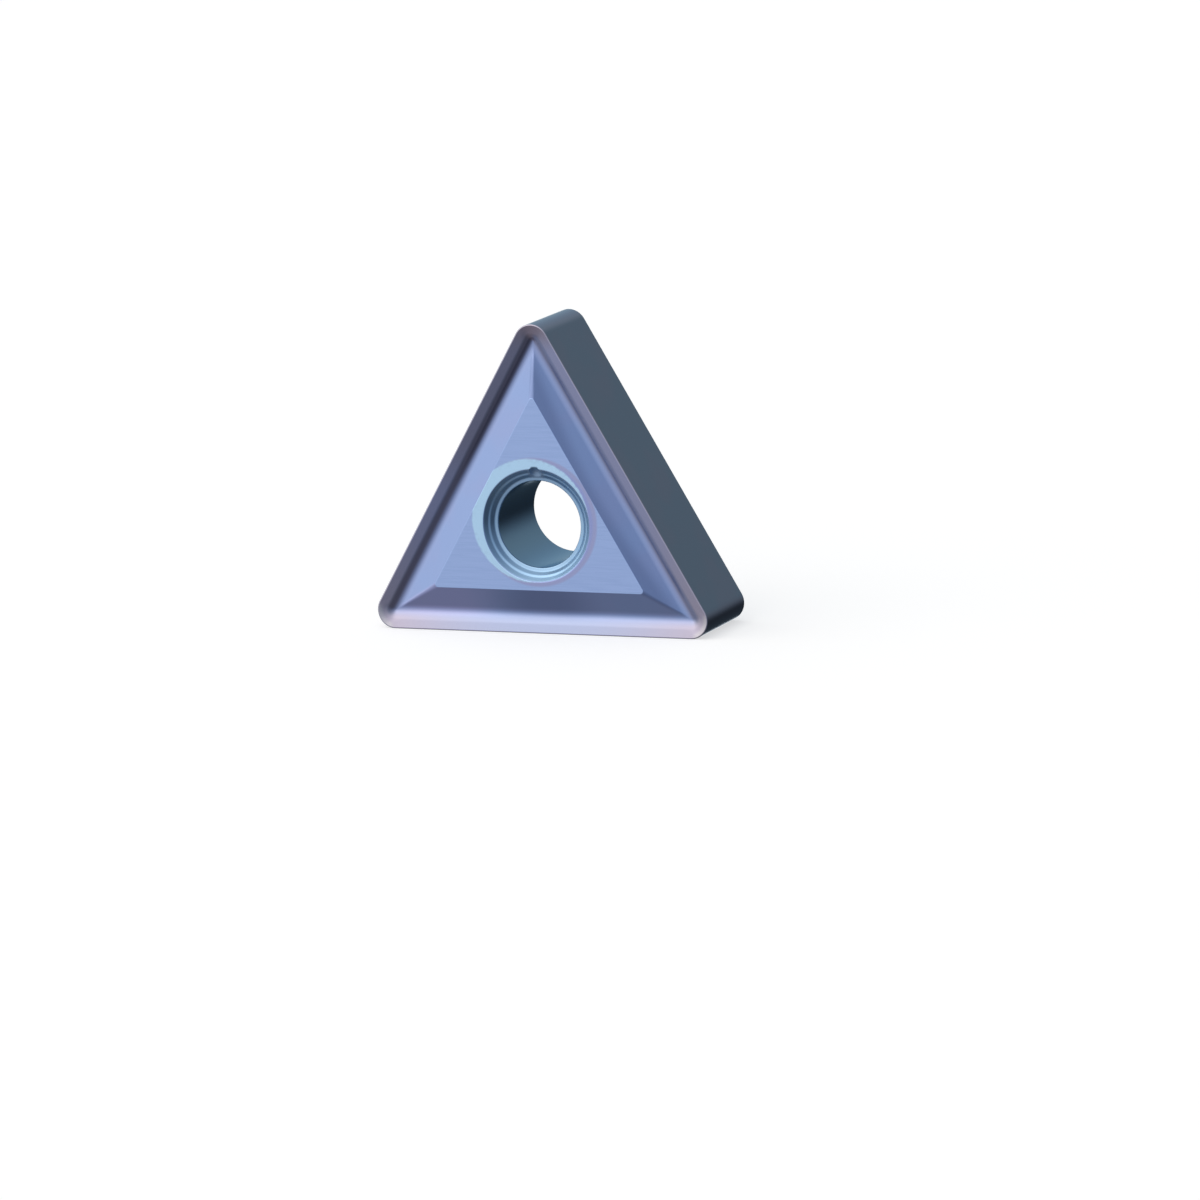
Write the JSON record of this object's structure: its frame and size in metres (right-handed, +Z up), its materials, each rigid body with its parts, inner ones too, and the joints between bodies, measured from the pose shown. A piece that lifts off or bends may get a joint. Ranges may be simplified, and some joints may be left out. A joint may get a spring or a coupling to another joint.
{
  "type": "carbide insert",
  "caption": "Double-sided triangular carbide turning insert with a chip groove and raised seat on each face and a stepped clamping hole.",
  "frame": {"origin": "on the clamping hole's axis, half-way through the thickness", "axes": "+Y along the clamping hole, +Z up through the raised nose, +X along the flank that the insert stands on"},
  "size_m": [0.0154, 0.005, 0.0135],
  "materials": {
    "coated_carbide": "satin blue-violet coating over sintered carbide"
  },
  "bodies": {
    "root": {"carbide_insert": "coated_carbide"}
  },
  "joints": []
}
